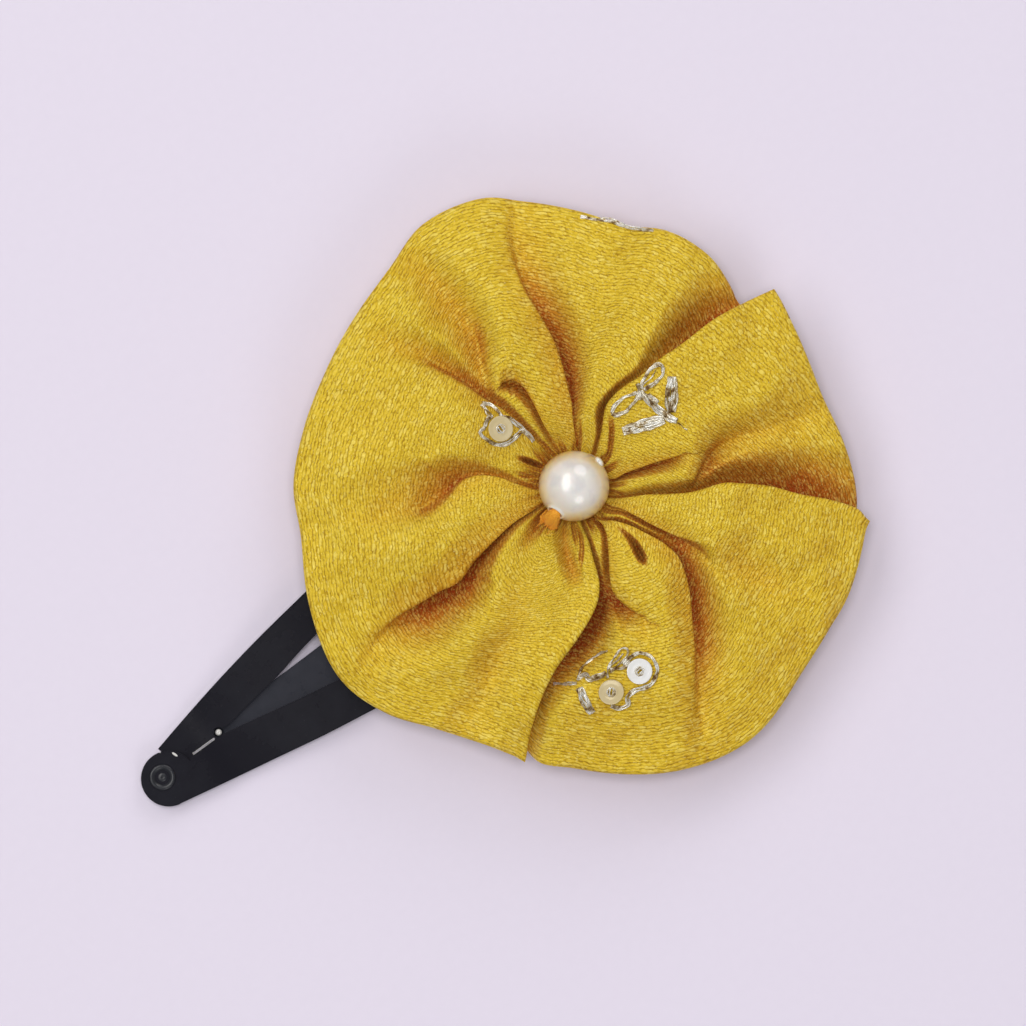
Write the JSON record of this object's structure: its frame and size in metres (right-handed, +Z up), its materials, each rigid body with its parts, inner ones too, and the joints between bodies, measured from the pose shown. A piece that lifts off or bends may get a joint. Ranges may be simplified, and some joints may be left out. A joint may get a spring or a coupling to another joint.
{
  "type": "hair clip",
  "caption": "Snap hair clip of black painted spring steel carrying a gathered satin flower with a sewn pearl bead, metal-thread sprigs and clear sequins.",
  "frame": {"origin": "on the flat underside of the clip's heel, below the flower's and pearl's centre", "axes": "+X from the riveted nose towards the heel, +Z up through the flower, so the clip lies on its back as on a table"},
  "size_m": [0.0921, 0.0698, 0.0155],
  "materials": {
    "black_paint": "satin",
    "satin": "satin",
    "felt": "matte",
    "hot_glue": "satin",
    "pearl_coat": "gloss",
    "orange_thread": "matte",
    "metal_thread": "satin",
    "sequin_foil": "gloss"
  },
  "bodies": {
    "heel": {"clip_heel": "black_paint", "glue_pad": "hot_glue", "felt_backing": "felt", "upper_petal": "satin", "right_petal": "satin", "lower_petal": "satin", "gather_thread": "orange_thread", "pearl": "pearl_coat", "bead_thread": "orange_thread", "sequin_1": "sequin_foil", "sequin_1_stitch": "metal_thread", "sequin_2": "sequin_foil", "sequin_2_stitch": "metal_thread", "sequin_3": "sequin_foil", "sequin_3_stitch": "metal_thread", "leaf_motif": "metal_thread", "vine_motif": "metal_thread", "bud_motif": "metal_thread", "rim_motif": "metal_thread"},
    "legs": {"left_leg": "black_paint", "right_leg": "black_paint", "nose_rivet": "black_paint"},
    "tongue": {"tongue": "black_paint"}
  },
  "joints": [
    {"name": "tongue_swing", "type": "hinge", "parent": "heel", "child": "tongue", "pos_m": [-0.007, 0, 0.0003], "axis": [0, -1, 0], "range_deg": [0, 13]},
    {"name": "leg_flex", "type": "hinge", "parent": "heel", "child": "legs", "pos_m": [-0.01, 0, 0.0003], "axis": [0, 1, 0], "range_deg": [0, 5]}
  ],
  "couplings": [
    {"joint": "leg_flex", "follows": "tongue_swing", "ratio": 0.38}
  ]
}
